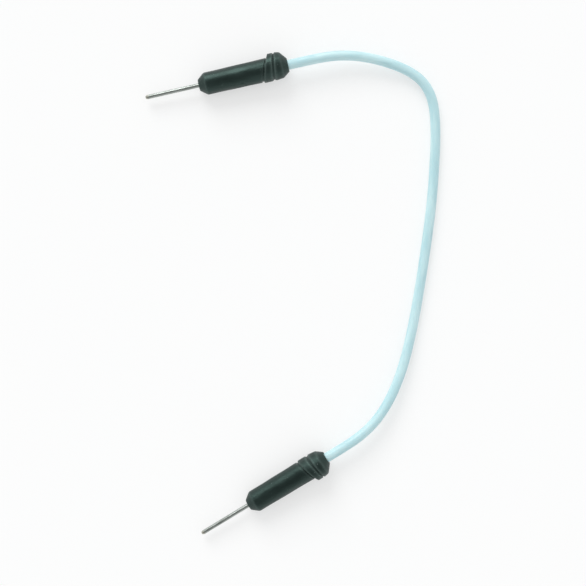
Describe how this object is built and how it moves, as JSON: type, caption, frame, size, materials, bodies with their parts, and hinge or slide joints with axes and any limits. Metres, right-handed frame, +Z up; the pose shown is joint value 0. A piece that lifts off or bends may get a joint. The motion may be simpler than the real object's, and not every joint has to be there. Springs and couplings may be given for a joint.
{
  "type": "jumper wire",
  "caption": "Short flexible jumper wire with a slim moulded plug and a round pin at each end, laid in an open curve.",
  "frame": {"origin": "on the surface the wire lies on, at the middle of the box around its two plugs and pins", "axes": "+Z up, away from that surface; +Y from the lower plug towards the upper one; +X towards the side the wire bows out to"},
  "size_m": [0.042, 0.0688, 0.004],
  "materials": {
    "wire_jacket": "extruded PVC, pale blue, half gloss",
    "plug_housing": "moulded PVC, black, satin",
    "contact_pin": "nickel plate on brass, bright with fine drawing lines",
    "wire_core": "tinned copper strands"
  },
  "bodies": {
    "root": {"insulation": "wire_jacket", "conductor": "wire_core", "housing_a": "plug_housing", "housing_b": "plug_housing", "pin_a": "contact_pin", "pin_b": "contact_pin"}
  },
  "joints": []
}
